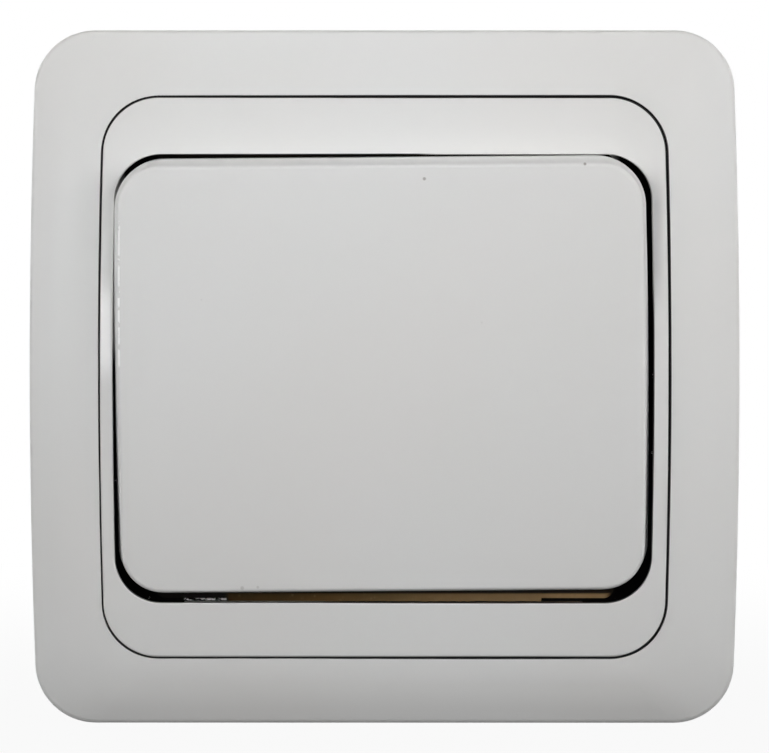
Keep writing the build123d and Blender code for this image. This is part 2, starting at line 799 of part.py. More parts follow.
def make_line_strip():
    """Brass strip from the line terminal to the cradle that carries the contact arm."""
    with BuildPart() as line_strip:
        with BuildSketch(wall_plane(-strip_back_depth)):
            cradle_outside = cradle_inside + strip_thickness
            between(-column_outside, cradle_outside, -cradle_length / 2, cradle_length / 2)
            between(-column_outside, -column_inside, 0, tab_top)
        extrude(amount=strip_thickness)
        for sign in (-1, 1):
            with BuildSketch(Plane.YZ.offset(sign * cradle_inside)):
                with Locations((arm_pivot_depth, 0)):
                    Circle(cradle_length / 2)
                with Locations(((arm_pivot_depth + strip_front_depth) / 2, 0)):
                    Rectangle(strip_front_depth - arm_pivot_depth, cradle_length)
                with Locations((arm_pivot_depth, 0)):
                    Circle(arm_pin_radius + arm_pin_clearance, mode=Mode.SUBTRACT)
            extrude(amount=sign * strip_thickness)
        with BuildSketch(Plane.XY.offset(tab_bottom)):
            between(-tab_end, -column_inside, tab_front_depth, strip_back_depth)
        extrude(amount=strip_thickness)
    save(line_strip, "line_terminal_strip")


def make_load_strip():
    """Brass strip from the fixed contact to the load terminal."""
    foot = contact_radius + strip_thickness
    with BuildPart() as load_strip:
        with BuildSketch(wall_plane(-strip_back_depth)):
            between(-foot, column_outside, -contact_offset - foot, -contact_offset + foot)
            between(column_inside, column_outside, -contact_offset, tab_top)
            with Locations((0, -contact_offset)):
                Circle(contact_shank_radius + contact_shank_clearance, mode=Mode.SUBTRACT)
        extrude(amount=strip_thickness)
        with BuildSketch(Plane.XY.offset(tab_bottom)):
            between(column_inside, tab_end, tab_front_depth, strip_back_depth)
        extrude(amount=strip_thickness)
    save(load_strip, "load_terminal_strip")


def make_cage(sign, name):
    """Clamp cage that rises along its screw and nips the wire against the strip's tab."""
    x = sign * terminal_spacing / 2
    top = cage_foot_height + cage_height
    with BuildPart() as cage:
        with BuildSketch(wall_plane(-cage_front_depth)):
            between(x - cage_width / 2, x + cage_width / 2, cage_foot_height, top, cage_wall)
            with Locations((x, cage_foot_height + cage_height / 2)):
                Rectangle(cage_width - 2 * cage_wall, cage_height - 2 * cage_wall, mode=Mode.SUBTRACT)
        extrude(amount=-cage_length)
        with BuildSketch(Plane.XY.offset(top)):
            with Locations((x, cage_front_depth + cage_length / 2)):
                Circle(terminal_screw_radius + screw_thread_clearance)
        extrude(amount=-2 * cage_wall, mode=Mode.SUBTRACT)
        # Window in the inner side for the tab, long enough for the whole rise
        with BuildSketch(Plane.YZ.offset(x - sign * cage_width / 2)):
            between(
                tab_front_depth - tab_slot_play,
                strip_back_depth + tab_slot_play,
                tab_bottom - cage_travel - tab_slot_play,
                tab_top + tab_slot_play,
            )
        extrude(amount=sign * 2 * cage_wall, mode=Mode.SUBTRACT)
    save(cage, name)


def make_terminal_screw(sign, name):
    """Slotted terminal screw that runs down through the cage to the tab."""
    x = sign * terminal_spacing / 2
    y = cage_front_depth + cage_length / 2
    tip = tab_top + screw_tip_gap
    with BuildPart() as screw:
        with BuildSketch(Plane.XY.offset(tip)):
            with Locations((x, y)):
                Circle(terminal_screw_radius)
        extrude(amount=terminal_head_z - tip)
        with BuildSketch(Plane.XY.offset(terminal_head_z)):
            with Locations((x, y)):
                Circle(terminal_head_radius)
        extrude(amount=terminal_head_height)
        with BuildSketch(Plane.XY.offset(terminal_head_z + terminal_head_height)):
            with Locations((x, y)):
                Rectangle(2 * terminal_head_radius, screw_slot_width)
        extrude(amount=-screw_slot_depth, mode=Mode.SUBTRACT)
    save(screw, name)


def make_claw(sign, name):
    """Spreading claw: a forked foot, an arm beside the base and teeth that bite the box."""
    z = -sign * claw_z
    foot_inside = claw_x - claw_foot_reach
    arm_outside = claw_arm_inside + claw_thickness
    with BuildPart() as claw:
        with BuildSketch(Plane.XY.offset(z)):
            with BuildLine():
                Polyline(
                    (sign * foot_inside, claw_foot_depth),
                    (sign * claw_arm_inside, claw_foot_depth),
                    (sign * claw_arm_inside, claw_front_depth),
                    (sign * (arm_outside + claw_tooth), claw_front_depth),
                    (sign * arm_outside, claw_front_depth + claw_tooth_length),
                    (sign * arm_outside, claw_foot_back),
                    (sign * foot_inside, claw_foot_back),
                    close=True,
                )
            make_face()
        extrude(amount=claw_width / 2, both=True)
        bend = claw.edges().filter_by(Axis.Z).sort_by_distance((sign * arm_outside, claw_foot_back, z))[0]
        fillet(bend, claw_thickness)
        slot = claw_screw_radius + claw_screw_clearance
        with BuildSketch(wall_plane(-claw_foot_depth)):
            with Locations((sign * claw_x, z)):
                Circle(slot)
            with Locations((sign * (claw_x - claw_foot_reach / 2), z)):
                Rectangle(claw_foot_reach, 2 * slot)
        extrude(amount=-claw_thickness, mode=Mode.SUBTRACT)
        notch_depth = claw_front_depth + claw_tooth_length / 2
        with BuildSketch(Plane.XY.offset(z)):
            with Locations((sign * (arm_outside + claw_tooth / 2), notch_depth)):
                Rectangle(claw_tooth, claw_tooth_length)
        extrude(amount=claw_notch_width / 2, both=True, mode=Mode.SUBTRACT)
    save(claw, name)


def make_claw_screw(sign, name):
    """Slotted screw that draws a claw forward, with its head on the support plate."""
    z = -sign * claw_z
    end = claw_foot_back + claw_nut_gap + claw_nut_thickness + claw_screw_tail
    with BuildPart() as screw:
        with BuildSketch(wall_plane(plate_thickness)):
            with Locations((sign * claw_x, z)):
                Circle(claw_head_radius)
        extrude(amount=claw_head_height)
        with BuildSketch(wall_plane(plate_thickness)):
            with Locations((sign * claw_x, z)):
                Circle(claw_screw_radius)
        extrude(amount=-(plate_thickness + end))
        with BuildSketch(wall_plane(plate_thickness + claw_head_height)):
            with Locations((sign * claw_x, z)):
                Rectangle(2 * claw_head_radius, screw_slot_width)
        extrude(amount=-screw_slot_depth, mode=Mode.SUBTRACT)
    save(screw, name)


def make_claw_nut(sign, name):
    """Square nut behind a claw's forked foot."""
    with BuildPart() as nut:
        with BuildSketch(wall_plane(-(claw_foot_back + claw_nut_gap))):
            with Locations((sign * claw_x, -sign * claw_z)):
                Rectangle(claw_nut_width, claw_nut_width)
                Circle(claw_screw_radius + screw_thread_clearance, mode=Mode.SUBTRACT)
        extrude(amount=-claw_nut_thickness)
    save(nut, name)


os.makedirs("parts", exist_ok=True)
make_outer_frame()
make_insert_plate()
make_rocker()
make_dolly()
make_plunger()
make_plunger_spring()
make_base_housing()
make_back_cover()
make_support_plate()
make_plate_rivets()
make_contact_arm()
make_moving_contact()
make_fixed_contact()
make_line_strip()
make_load_strip()
for side, sign in (("left", -1), ("right", 1)):
    make_claw(sign, f"{side}_claw")
    make_claw_screw(sign, f"{side}_claw_screw")
    make_claw_nut(sign, f"{side}_claw_nut")
for pole, sign in (("line", -1), ("load", 1)):
    make_cage(sign, f"{pole}_clamp_cage")
    make_terminal_screw(sign, f"{pole}_terminal_screw")
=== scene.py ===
import json
import math
import bpy
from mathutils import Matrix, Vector

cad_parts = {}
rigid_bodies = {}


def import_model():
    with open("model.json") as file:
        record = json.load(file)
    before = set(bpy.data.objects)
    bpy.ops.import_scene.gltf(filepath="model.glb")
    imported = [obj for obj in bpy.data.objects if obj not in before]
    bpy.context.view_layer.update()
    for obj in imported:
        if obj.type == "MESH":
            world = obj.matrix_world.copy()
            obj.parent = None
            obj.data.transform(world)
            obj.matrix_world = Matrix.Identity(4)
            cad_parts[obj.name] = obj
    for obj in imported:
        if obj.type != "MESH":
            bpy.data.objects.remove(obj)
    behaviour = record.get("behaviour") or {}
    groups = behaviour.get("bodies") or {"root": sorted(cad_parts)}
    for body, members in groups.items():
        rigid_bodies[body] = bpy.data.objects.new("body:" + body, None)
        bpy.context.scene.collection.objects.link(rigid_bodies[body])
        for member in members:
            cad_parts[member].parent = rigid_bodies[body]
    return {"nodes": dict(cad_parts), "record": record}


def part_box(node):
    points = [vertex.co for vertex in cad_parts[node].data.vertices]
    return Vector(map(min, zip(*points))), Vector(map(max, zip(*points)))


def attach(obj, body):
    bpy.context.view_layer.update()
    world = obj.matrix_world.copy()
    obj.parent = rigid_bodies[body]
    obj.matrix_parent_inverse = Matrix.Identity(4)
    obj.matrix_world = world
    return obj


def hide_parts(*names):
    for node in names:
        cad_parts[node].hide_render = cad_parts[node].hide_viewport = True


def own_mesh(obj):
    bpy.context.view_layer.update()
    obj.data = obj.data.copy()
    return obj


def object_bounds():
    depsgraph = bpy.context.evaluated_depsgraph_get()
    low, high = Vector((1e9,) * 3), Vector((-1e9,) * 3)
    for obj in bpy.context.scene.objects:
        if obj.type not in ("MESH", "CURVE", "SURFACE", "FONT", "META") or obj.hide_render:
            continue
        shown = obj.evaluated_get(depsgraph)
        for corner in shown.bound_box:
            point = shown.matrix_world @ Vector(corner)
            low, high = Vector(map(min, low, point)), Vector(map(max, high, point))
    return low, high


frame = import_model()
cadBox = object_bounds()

mm = 0.001
nodes = frame["nodes"]
print("frame loaded:", len(nodes), "parts")


class Signal:  # one socket of a node, with Python arithmetic
    def __init__(self, graph, socket):
        self.graph = graph
        self.socket = socket

    def combine(self, operation, first, second=None):
        values = {0: first} if second is None else {0: first, 1: second}
        return self.graph.add("ShaderNodeMath", {"operation": operation}, values)

    def __add__(self, other):
        return self.combine("ADD", self, other)

    def __radd__(self, other):
        return self.combine("ADD", other, self)

    def __sub__(self, other):
        return self.combine("SUBTRACT", self, other)

    def __rsub__(self, other):
        return self.combine("SUBTRACT", other, self)

    def __mul__(self, other):
        return self.combine("MULTIPLY", self, other)

    def __rmul__(self, other):
        return self.combine("MULTIPLY", other, self)

    def __truediv__(self, other):
        return self.combine("DIVIDE", self, other)

    def __rtruediv__(self, other):
        return self.combine("DIVIDE", other, self)

    def __pow__(self, other):
        return self.combine("POWER", self, other)

    def __abs__(self):
        return self.combine("ABSOLUTE", self)

    def __lt__(self, other):
        return self.combine("LESS_THAN", self, other)

    def __gt__(self, other):
        return self.combine("GREATER_THAN", self, other)

    def atLeast(self, other):
        return self.combine("MAXIMUM", self, other)

    def wave(self, operation):  # sine, cosine or fraction of this value
        return self.combine(operation, self)

    def out(self, name):  # another output of the same node
        return Signal(self.graph, self.socket.node.outputs[name])


class Graph:  # a shader or geometry tree that nodes are added to
    def __init__(self, tree):
        self.tree = tree

    def add(self, kind, settings=None, values=None):
        node = self.tree.nodes.new(kind)
        for name, value in (settings or {}).items():
            if name == "stops":
                ramp = node.color_ramp
                while len(ramp.elements) < len(value):
                    ramp.elements.new(1.0)
                for element, (place, tone) in zip(ramp.elements, value):
                    element.position = place
                    element.color = tone
            else:
                setattr(node, name, value)
        for name, value in (values or {}).items():
            socket = node.inputs[name]
            for signal in value if isinstance(value, list) else [value]:
                if isinstance(signal, Signal):
                    self.tree.links.new(signal.socket, socket)
                else:
                    socket.default_value = signal
        live = [o for o in node.outputs if o.enabled]
        return Signal(self, live[0]) if live else node

    def axes(self, place):  # X, Y and Z of a vector
        split = self.add("ShaderNodeSeparateXYZ", None, {0: place})
        return split, split.out("Y"), split.out("Z")

    def noise(self, place, scale, detail=2.0, roughness=0.5, distortion=0.0):
        return self.add("ShaderNodeTexNoise", None, {
            "Vector": place, "Scale": scale, "Detail": detail,
            "Roughness": roughness, "Distortion": distortion})

    def blend(self, share, first, second):  # mixes two colours
        return self.add("ShaderNodeMix", {"data_type": "RGBA"}, {0: share, 6: first, 7: second})

    def ease(self, value, low, high, lowOut=0.0, highOut=1.0, curve="SMOOTHSTEP"):  # held at its ends
        return self.add("ShaderNodeMapRange", {"interpolation_type": curve}, {
            "Value": value, "From Min": low, "From Max": high, "To Min": lowOut, "To Max": highOut})

    def rise(self, value, span):  # 0 to 1 across a span in millimetres
        return self.ease(value, span[0] * mm, span[1] * mm)

    def fall(self, value, span):  # 1 to 0 across a span in millimetres
        return self.ease(value, span[0] * mm, span[1] * mm, 1.0, 0.0)

    def band(self, value, low, high, soft):  # 1 between low and high, with soft ends
        return self.ease(value, low - soft, low) * self.ease(value, high, high + soft, 1.0, 0.0)

    def outline(self, x, z, look):  # distance out of a bowed outline with round corners
        side = look["width"] / 2 * mm - (z ** 2) / (2 * look["bow"] * mm)
        overX = (abs(x - look["x"] * mm) - (side - look["corner"] * mm)).atLeast(0.0)
        overZ = (abs(z - look["z"] * mm) - (look["height"] / 2 - look["corner"]) * mm).atLeast(0.0)
        return (overX ** 2 + overZ ** 2) ** 0.5 - look["corner"] * mm


def rgb(red, green, blue):  # an 8 bit screen colour as linear light
    def linear(level):
        level /= 255
        return level / 12.92 if level <= 0.04045 else ((level + 0.055) / 1.055) ** 2.4
    return linear(red), linear(green), linear(blue), 1.0


def emptyGraph(owner):  # the cleared tree of a material or world
    owner.use_nodes = True
    owner.node_tree.nodes.clear()
    return Graph(owner.node_tree)


def addObject(name, data):
    thing = bpy.data.objects.new(name, data)
    bpy.context.scene.collection.objects.link(thing)
    return thing


def newMaterial(name, fixed):
    material = bpy.data.materials.new(name)
    graph = emptyGraph(material)
    surface = graph.add("ShaderNodeBsdfPrincipled", None, fixed)
    graph.add("ShaderNodeOutputMaterial", None, {"Surface": surface})
    place = graph.add("ShaderNodeTexCoord").out("Object")
    return material, graph, surface, place


def feed(surface, name, value):
    surface.graph.tree.links.new(value.socket, surface.socket.node.inputs[name])


def bump(graph, strength, depth, height):
    return graph.add("ShaderNodeBump", None, {"Strength": strength, "Distance": depth * mm, "Height": height})


# The seam round the insert and the window round the rocker, in millimetres; rim is the width of a painted
# dark line of shade along each, and the patches listed last are spared that painted shade
seamLook = {"x": 0.0, "z": 0.0, "width": 65.8, "height": 64.7, "corner": 6.4, "bow": 900.0,
            "rim": 0.13, "litPatches": ()}
windowLook = {"x": -0.15, "z": -0.16, "width": 62.35, "height": 51.7, "corner": 5.3, "bow": 900.0,
              "rim": 0.03, "litPatches": ((-40.0, -30.3, 0.3, 6.0, 19.0, 5.0), (6.0, 25.0, 2.5, 24.6, 40.0, 0.5))}
# A patch is low X, high X, soft X, low Z, high Z and soft Z, and a speck is X, Z, radius and depth of tone
glossLook = {"base": rgb(226, 226, 225), "warm": rgb(224, 223, 221), "roughness": 0.35, "bump": 0.05,
             # the crevice tone is the colour of the painted shade in the gaps
             "grain": 1500.0, "specks": (), "crevices": (seamLook, windowLook), "crevice": rgb(10, 9, 8),
             "creviceReach": 0.22, "creviceFade": 1.4, "creviceDepth": (-8.3, -6.2, 0.12),
             "rimSoft": 0.03, "rimWander": 0.16, "rimLean": 0.0013, "rimLeanUp": 0.6,
             # a painted shadow beside the rocker's raised corner and a painted highlight on the left strip
             "paintedLightPatches": ((rgb(203, 202, 201), (30.9, 31.3, 1.3, 13.0, 19.0, 6.0)),
                        (rgb(255, 255, 255), (-32.6, -31.7, 0.3, 3.5, 7.5, 5.0)))}
satinLook = {"base": rgb(223, 223, 222), "warm": rgb(221, 220, 218), "roughness": 0.38, "bump": 0.07,
             "grain": 2400.0, "crevices": (), "paintedLightPatches": (), "paintedHighlight": rgb(254, 254, 253),
             # painted highlight: the near-white tone and the spans below lighten the rocker's walls and put
             # glints on its left rim
             "rimGlintBand": (2.0, 18.0, 0.8), "rimGlintReach": (-0.3, -0.1, 0.06), "rimGlintAlong": (-29.6, -29.5),
             "rimGlintGrain": (0.42, 0.5), "wallBrightening": (0.05, 0.6, 0.15), "speck": rgb(96, 88, 76), "speckCore": 0.4,
             "specks": ((4.6, 22.9, 0.26, 0.7), (23.0, 24.6, 0.23, 0.8), (-16.4, -24.3, 0.3, 0.3),
                        (-14.6, -24.2, 0.22, 0.25), (-7.9, -24.9, 0.26, 0.3), (11.2, 6.4, 0.16, 0.12),
                        (-21.0, 9.0, 0.14, 0.12)),
             "edge": {"x": 0.0, "z": 0.0, "width": 60.7, "height": 49.28, "corner": 4.7, "bow": 900.0},
             "seat": {"aside": -0.33, "lift": 0.28, "pivot": 6.7, "tilt": 5.0, "skew": 0.45}}


def patchShare(graph, x, z, patch):  # 1 within a patch of X and Z in millimetres, with soft ends
    lowX, highX, softX, lowZ, highZ, softZ = (value * mm for value in patch)
    return graph.band(x, lowX, highX, softX) * graph.band(z, lowZ, highZ, softZ)


def creviceShade(graph, x, y, z, cloud, look, crevice):  # painted shade in a narrow gap: a dark line along it and darkened recessed walls
    reach = abs(graph.outline(x, z, crevice))
    width = look["creviceReach"] * mm
    near = graph.ease(reach, width, look["creviceFade"] * width, 1.0, 0.0)
    deep = graph.band(y, *(value * mm for value in look["creviceDepth"]))
    wander = (cloud - 0.5) * (look["rimWander"] * mm)
    edge = reach + wander - (x + z * look["rimLeanUp"]) * look["rimLean"]  # wider at the top right
    rim = graph.ease(edge, crevice["rim"] * mm, (crevice["rim"] + look["rimSoft"]) * mm, 1.0, 0.0)
    shade = (near * deep).atLeast(rim)
    # these patches keep their plain tone, without the painted shade
    for patch in crevice["litPatches"]:
        shade = shade * (1.0 - patchShare(graph, x, z, patch))
    return shade


def paintedHighlightShare(graph, x, y, z, fine, look):  # painted highlight: lighter rocker side walls, and painted glints along its left rim
    seat = look["seat"]
    tilt, skew = math.radians(seat["tilt"]), math.radians(seat["skew"])
    up = z * math.cos(tilt) - (y + seat["pivot"] * mm) * math.sin(tilt) - seat["lift"] * mm
    across = x - seat["aside"] * mm
    along = across * math.cos(skew) + up * math.sin(skew)
    above = up * math.cos(skew) - across * math.sin(skew)
    reach = graph.outline(along, above, look["edge"])
    rimGlints = graph.band(reach, *(value * mm for value in look["rimGlintReach"]))
    rimGlints = rimGlints * graph.band(above, *(value * mm for value in look["rimGlintBand"]))
    rimGlints = rimGlints * graph.fall(along, look["rimGlintAlong"]) * graph.ease(fine, *look["rimGlintGrain"])
    low, high, least = look["wallBrightening"]
    return graph.ease(reach, low * mm, high * mm, least, 1.0).atLeast(rimGlints)


def whitePlastic(name, look):
    material, graph, surface, place = newMaterial(name, {"IOR": 1.5, "Specular IOR Level": 0.35})
    cloud = graph.noise(place, scale=28.0, detail=1.0, roughness=0.4)
    fine = graph.noise(place, scale=900.0, detail=4.0, roughness=0.6)
    x, y, z = graph.axes(place)
    tone = graph.blend(graph.ease(cloud, 0.3, 0.7), look["base"], look["warm"])
    tone = graph.blend(graph.ease(fine, 0.55, 0.8) * 0.015, tone, rgb(200, 198, 192))
    for speckX, speckZ, radius, depth in look["specks"]:
        reach = ((x - speckX * mm) ** 2 + (z - speckZ * mm) ** 2) ** 0.5
        spot = graph.ease(reach, look["speckCore"] * radius * mm, radius * mm, depth, 0.0)
        tone = graph.blend(spot, tone, look["speck"])
    # painted shade along the seam and the window gap
    for crevice in look["crevices"]:
        tone = graph.blend(creviceShade(graph, x, y, z, cloud, look, crevice), tone, look["crevice"])
    for patchTone, patch in look["paintedLightPatches"]:  # painted shadow beside the rocker's standing corner, a painted highlight on the left strip
        tone = graph.blend(patchShare(graph, x, z, patch), tone, patchTone)
    # painted highlight on the rocker's side walls and left rim
    if "edge" in look:
        tone = graph.blend(paintedHighlightShare(graph, x, y, z, fine, look), tone, look["paintedHighlight"])
    feed(surface, "Base Color", tone)
    rough = graph.ease(cloud, 0.3, 0.7, look["roughness"] * 0.95, look["roughness"] * 1.15)
    feed(surface, "Roughness", rough + (fine - 0.5) * 0.03)
    swell = graph.noise(place, scale=160.0)
    grain = graph.noise(place, scale=look["grain"], detail=3.0, roughness=0.65)
    uneven = swell * 0.5 + grain * 0.5
    feed(surface, "Normal", bump(graph, strength=look["bump"], depth=0.05, height=uneven))
    return material


brownLook = {"base": rgb(118, 93, 62), "dark": rgb(102, 78, 51), "fleck": rgb(146, 124, 92),
             # the near-black tone here is painted shade for the unlit front
             "paintedShade": rgb(9, 7, 4), "paintedShadeShare": 0.97, "roughness": 0.5, "front": (-1.7, -1.1),
             "ledgeX": (-18.5, 27.0), "ledgeTop": (-25.42, -25.12), "leftEnd": (-18.6, -17.9),
             "rightEnd": (25.4, 26.4),
             # the ledge ramp is painted light: the strip darkens to the left, where less light reaches into
             # the gap
             "ledge": ((0.0, rgb(62, 45, 16)), (0.143, rgb(76, 57, 26)), (0.244, rgb(98, 73, 38)),
                       (0.407, rgb(116, 95, 61)), (0.574, rgb(144, 117, 81)),
                       (0.776, rgb(154, 127, 91)), (0.85, rgb(180, 148, 105)))}


def brownPlastic(name, look):  # thermoset; its front is painted near-black as shade, except along the lower ledge, which carries a painted light ramp
    material, graph, surface, place = newMaterial(name, {"IOR": 1.5, "Specular IOR Level": 0.15})
    x, y, z = graph.axes(place)
    cloud = graph.noise(place, scale=230.0, detail=4.0, roughness=0.6, distortion=0.4)
    fleck = graph.add("ShaderNodeTexVoronoi", {"feature": "F1"}, {"Vector": place, "Scale": 1400.0})
    tone = graph.blend(graph.ease(cloud, 0.35, 0.7), look["base"], look["dark"])
    front = graph.fall(y, look["front"])
    along = graph.ease(x, look["ledgeX"][0] * mm, look["ledgeX"][1] * mm, curve="LINEAR")
    ledge = graph.add("ShaderNodeValToRGB", {"stops": look["ledge"]}, {0: along})
    tone = graph.blend(front, tone, graph.blend(graph.ease(cloud, 0.4, 0.75) * 0.25, ledge, look["dark"]))
    tone = graph.blend(graph.ease(fleck, 0.0, 0.35, 0.35, 0.0), tone, look["fleck"])
    above = graph.rise(z, look["ledgeTop"])
    leftEnd = graph.fall(x, look["leftEnd"])
    rightEnd = graph.rise(x, look["rightEnd"])
    # painted shade: the front goes near-black above the ledge and past its ends, where the rocker and window
    # keep light out
    hidden = front * above.atLeast(leftEnd).atLeast(rightEnd)
    feed(surface, "Base Color", graph.blend(hidden * look["paintedShadeShare"], tone, look["paintedShade"]))
    feed(surface, "Roughness", look["roughness"] + (cloud - 0.5) * 0.25)
    grain = graph.noise(place, scale=1800.0, detail=3.0, roughness=0.6)
    feed(surface, "Normal", bump(graph, strength=0.25, depth=0.04, height=grain))
    return material


naturalLook = {"base": rgb(222, 218, 204), "warm": rgb(208, 202, 184), "roughness": 0.45}


def naturalPlastic(name, look):
    material, graph, surface, place = newMaterial(name, {"IOR": 1.48})
    cloud = graph.noise(place, scale=220.0, detail=3.0)
    feed(surface, "Base Color", graph.blend(graph.ease(cloud, 0.3, 0.75), look["base"], look["warm"]))
    feed(surface, "Roughness", look["roughness"] + (cloud - 0.5) * 0.2)
    grain = graph.noise(place, scale=2200.0)
    feed(surface, "Normal", bump(graph, strength=0.12, depth=0.04, height=grain))
    return material


zincLook = {"base": rgb(198, 200, 202), "shade": rgb(184, 187, 191), "dull": rgb(150, 150, 147),
            "roughness": 0.34, "front": (-0.95, -0.6), "windowX": (33.0, 33.9), "windowZ": (28.4, 28.9),
            # the near-black is painted shade and the near-white is painted glints, on the front behind the
            # window
            "paintedShade": rgb(9, 8, 7), "glint": rgb(246, 246, 244),
            "glintPatch": (-23.2, -18.5, 0.2, -26.1, -25.7, 0.05)}


def zincSheet(name, look):  # bright zinc with faint spangles; its front behind the window is painted near-black as shade, with painted glints
    material, graph, surface, place = newMaterial(name, {"Specular IOR Level": 0.08})
    x, y, z = graph.axes(place)
    spangle = graph.add("ShaderNodeTexVoronoi", {"feature": "F1"}, {"Vector": place, "Scale": 800.0})
    cell = graph.axes(spangle.out("Color"))[0]
    cloud = graph.noise(place, scale=90.0, detail=5.0, roughness=0.6)
    tone = graph.blend(graph.ease(cell, 0.2, 0.8), look["base"], look["shade"])
    tone = graph.blend(graph.ease(cloud, 0.5, 0.8) * 0.7, tone, look["dull"])
    behindWindow = graph.fall(abs(x), look["windowX"]) * graph.fall(abs(z), look["windowZ"])
    front = graph.fall(y, look["front"]) * behindWindow
    stretched = graph.add("ShaderNodeMapping", None, {"Vector": place, "Scale": (1.0, 1.0, 2.2)})
    # painted glints: flecks in a zone at the lower left, stray flecks, and the patches left out of the gap
    # shade
    glintFlecks = graph.ease(graph.noise(stretched, scale=1500.0, roughness=0.7), 0.5, 0.6)
    glintZone = patchShare(graph, x, z, look["glintPatch"])
    strayGlints = graph.ease(graph.noise(place, scale=700.0, roughness=0.6), 0.68, 0.72)
    bright = glintFlecks * glintZone.atLeast(strayGlints)
    for patch in windowLook["litPatches"]:
        bright = bright.atLeast(patchShare(graph, x, z, patch))
    # painted shade on the front behind the window, except at the painted glints
    inShade = front * (1.0 - bright)
    tone = graph.blend(inShade, tone, look["paintedShade"])
    feed(surface, "Base Color", graph.blend(front * bright, tone, look["glint"]))
    feed(surface, "Metallic", 1.0 - front * 0.95)
    feed(surface, "Roughness", look["roughness"] + (cloud - 0.5) * 0.35 + cell * 0.08 + inShade * 0.4)
    grain = graph.noise(place, scale=2600.0, detail=3.0, roughness=0.6)
    feed(surface, "Normal", bump(graph, strength=0.2, depth=0.02, height=grain))
    return material


def drawnMetal(name, look):  # streaked along one axis
    material, graph, surface, place = newMaterial(name, {"Metallic": 1.0})
    along = graph.add("ShaderNodeMapping", None, {"Vector": place, "Scale": look["stretch"]})
    streak = graph.noise(along, scale=look["scale"], detail=4.0, roughness=0.65)
    cloud = graph.noise(place, scale=260.0, detail=3.0)
    feed(surface, "Base Color", graph.blend(graph.ease(streak, 0.3, 0.75), look["base"], look["shade"]))
    feed(surface, "Roughness", look["roughness"] + (streak - 0.5) * 0.3 + (cloud - 0.5) * 0.15)
    feed(surface, "Normal", bump(graph, strength=0.3, depth=0.01, height=streak))
    return material


def metalLook(base, shade, roughness, stretch, scale):
    return {"base": rgb(*base), "shade": rgb(*shade), "roughness": roughness,
            "stretch": stretch, "scale": scale}


screwLook = metalLook((188, 188, 184), (150, 150, 146), 0.30, (1.0, 1.0, 1.0), 900.0)
springLook = metalLook((170, 170, 170), (120, 120, 122), 0.30, (1.0, 1.0, 1.0), 2600.0)
brassLook = metalLook((205, 172, 104), (170, 136, 76), 0.32, (1.0, 1.0, 0.08), 1300.0)
silverLook = metalLook((214, 214, 208), (176, 174, 166), 0.28, (1.0, 1.0, 1.0), 1500.0)
finishes = {
    "white_gloss": whitePlastic("moulded white gloss", glossLook),
    "white_satin": whitePlastic("moulded white satin", satinLook),
    "natural_plastic": naturalPlastic("natural plastic", naturalLook),
    "brown_plastic": brownPlastic("brown thermoset", brownLook),
    "galvanised": zincSheet("zinc plated sheet", zincLook),
    "screw_steel": drawnMetal("turned screw steel", screwLook),
    "spring_steel": drawnMetal("drawn spring wire", springLook),
    "brass": drawnMetal("rolled brass strip", brassLook),
    "silver": drawnMetal("silver contact", silverLook),
}
slotOf = {part["node"]: part["material_slot"] for part in frame["record"]["subparts"]}
for name, part in nodes.items():
    part.data.materials.clear()
    part.data.materials.append(finishes[slotOf[name]])
print("finishes given to", len(nodes), "parts")


def newTree(name, inputs):  # a geometry tree with named inputs; a size is in metres
    tree = bpy.data.node_groups.new(name, "GeometryNodeTree")
    kinds = {float: "NodeSocketFloat", int: "NodeSocketInt", tuple: "NodeSocketVector"}
    for label, value in inputs.items():
        kind = "NodeSocketMaterial" if isinstance(value, bpy.types.Material) else kinds[type(value)]
        tree.interface.new_socket(name=label, in_out="INPUT", socket_type=kind)
    tree.interface.new_socket(name="Geometry", in_out="OUTPUT", socket_type="NodeSocketGeometry")
    graph = Graph(tree)
    first = graph.add("NodeGroupInput")
    return tree, graph, {label: first.out(label) for label in inputs}


closedEnd = 0.00001  # share of the height in which a turned solid closes to a point


def turned(graph, around, rows, radiusOf):  # a closed solid along Z, from its radius at each height
    grid = graph.add("GeometryNodeMeshGrid", None, {
        "Size X": 1.0, "Size Y": 1.0, "Vertices X": around, "Vertices Y": rows})
    x, y, _ = graph.axes(graph.add("GeometryNodeInputPosition"))
    turn, along = x + 0.5, y + 0.5
    radius, height = radiusOf(turn, along)
    radius = radius * (along > closedEnd) * (along < 1.0 - closedEnd)
    angle = turn * (2 * math.pi)
    place = graph.add("ShaderNodeCombineXYZ", None, {
        0: radius * angle.wave("COSINE"), 1: radius * angle.wave("SINE"), 2: height})
    bent = graph.add("GeometryNodeSetPosition", None, {"Geometry": grid, "Position": place})
    return graph.add("GeometryNodeMergeByDistance", None, {"Geometry": bent, "Distance": 0.000001})


crispFrom = math.radians(38)


def finishTree(graph, mesh, material):  # smooth faces with crisp edges, then the end that the export needs
    bend = graph.add("GeometryNodeInputMeshEdgeAngle").out("Unsigned Angle")
    soft = graph.add("FunctionNodeCompare", {"operation": "LESS_THAN"}, {0: bend, 1: crispFrom})
    for domain, smooth in (("FACE", True), ("EDGE", soft)):
        values = {"Geometry": mesh, "Shade Smooth": smooth}
        mesh = graph.add("GeometryNodeSetShadeSmooth", {"domain": domain}, values)
    mesh = graph.add("GeometryNodeRealizeInstances", None, {"Geometry": mesh})
    mesh = graph.add("GeometryNodeSetMaterial", None, {"Geometry": mesh, "Material": material})
    graph.add("NodeGroupOutput", None, {"Geometry": mesh})


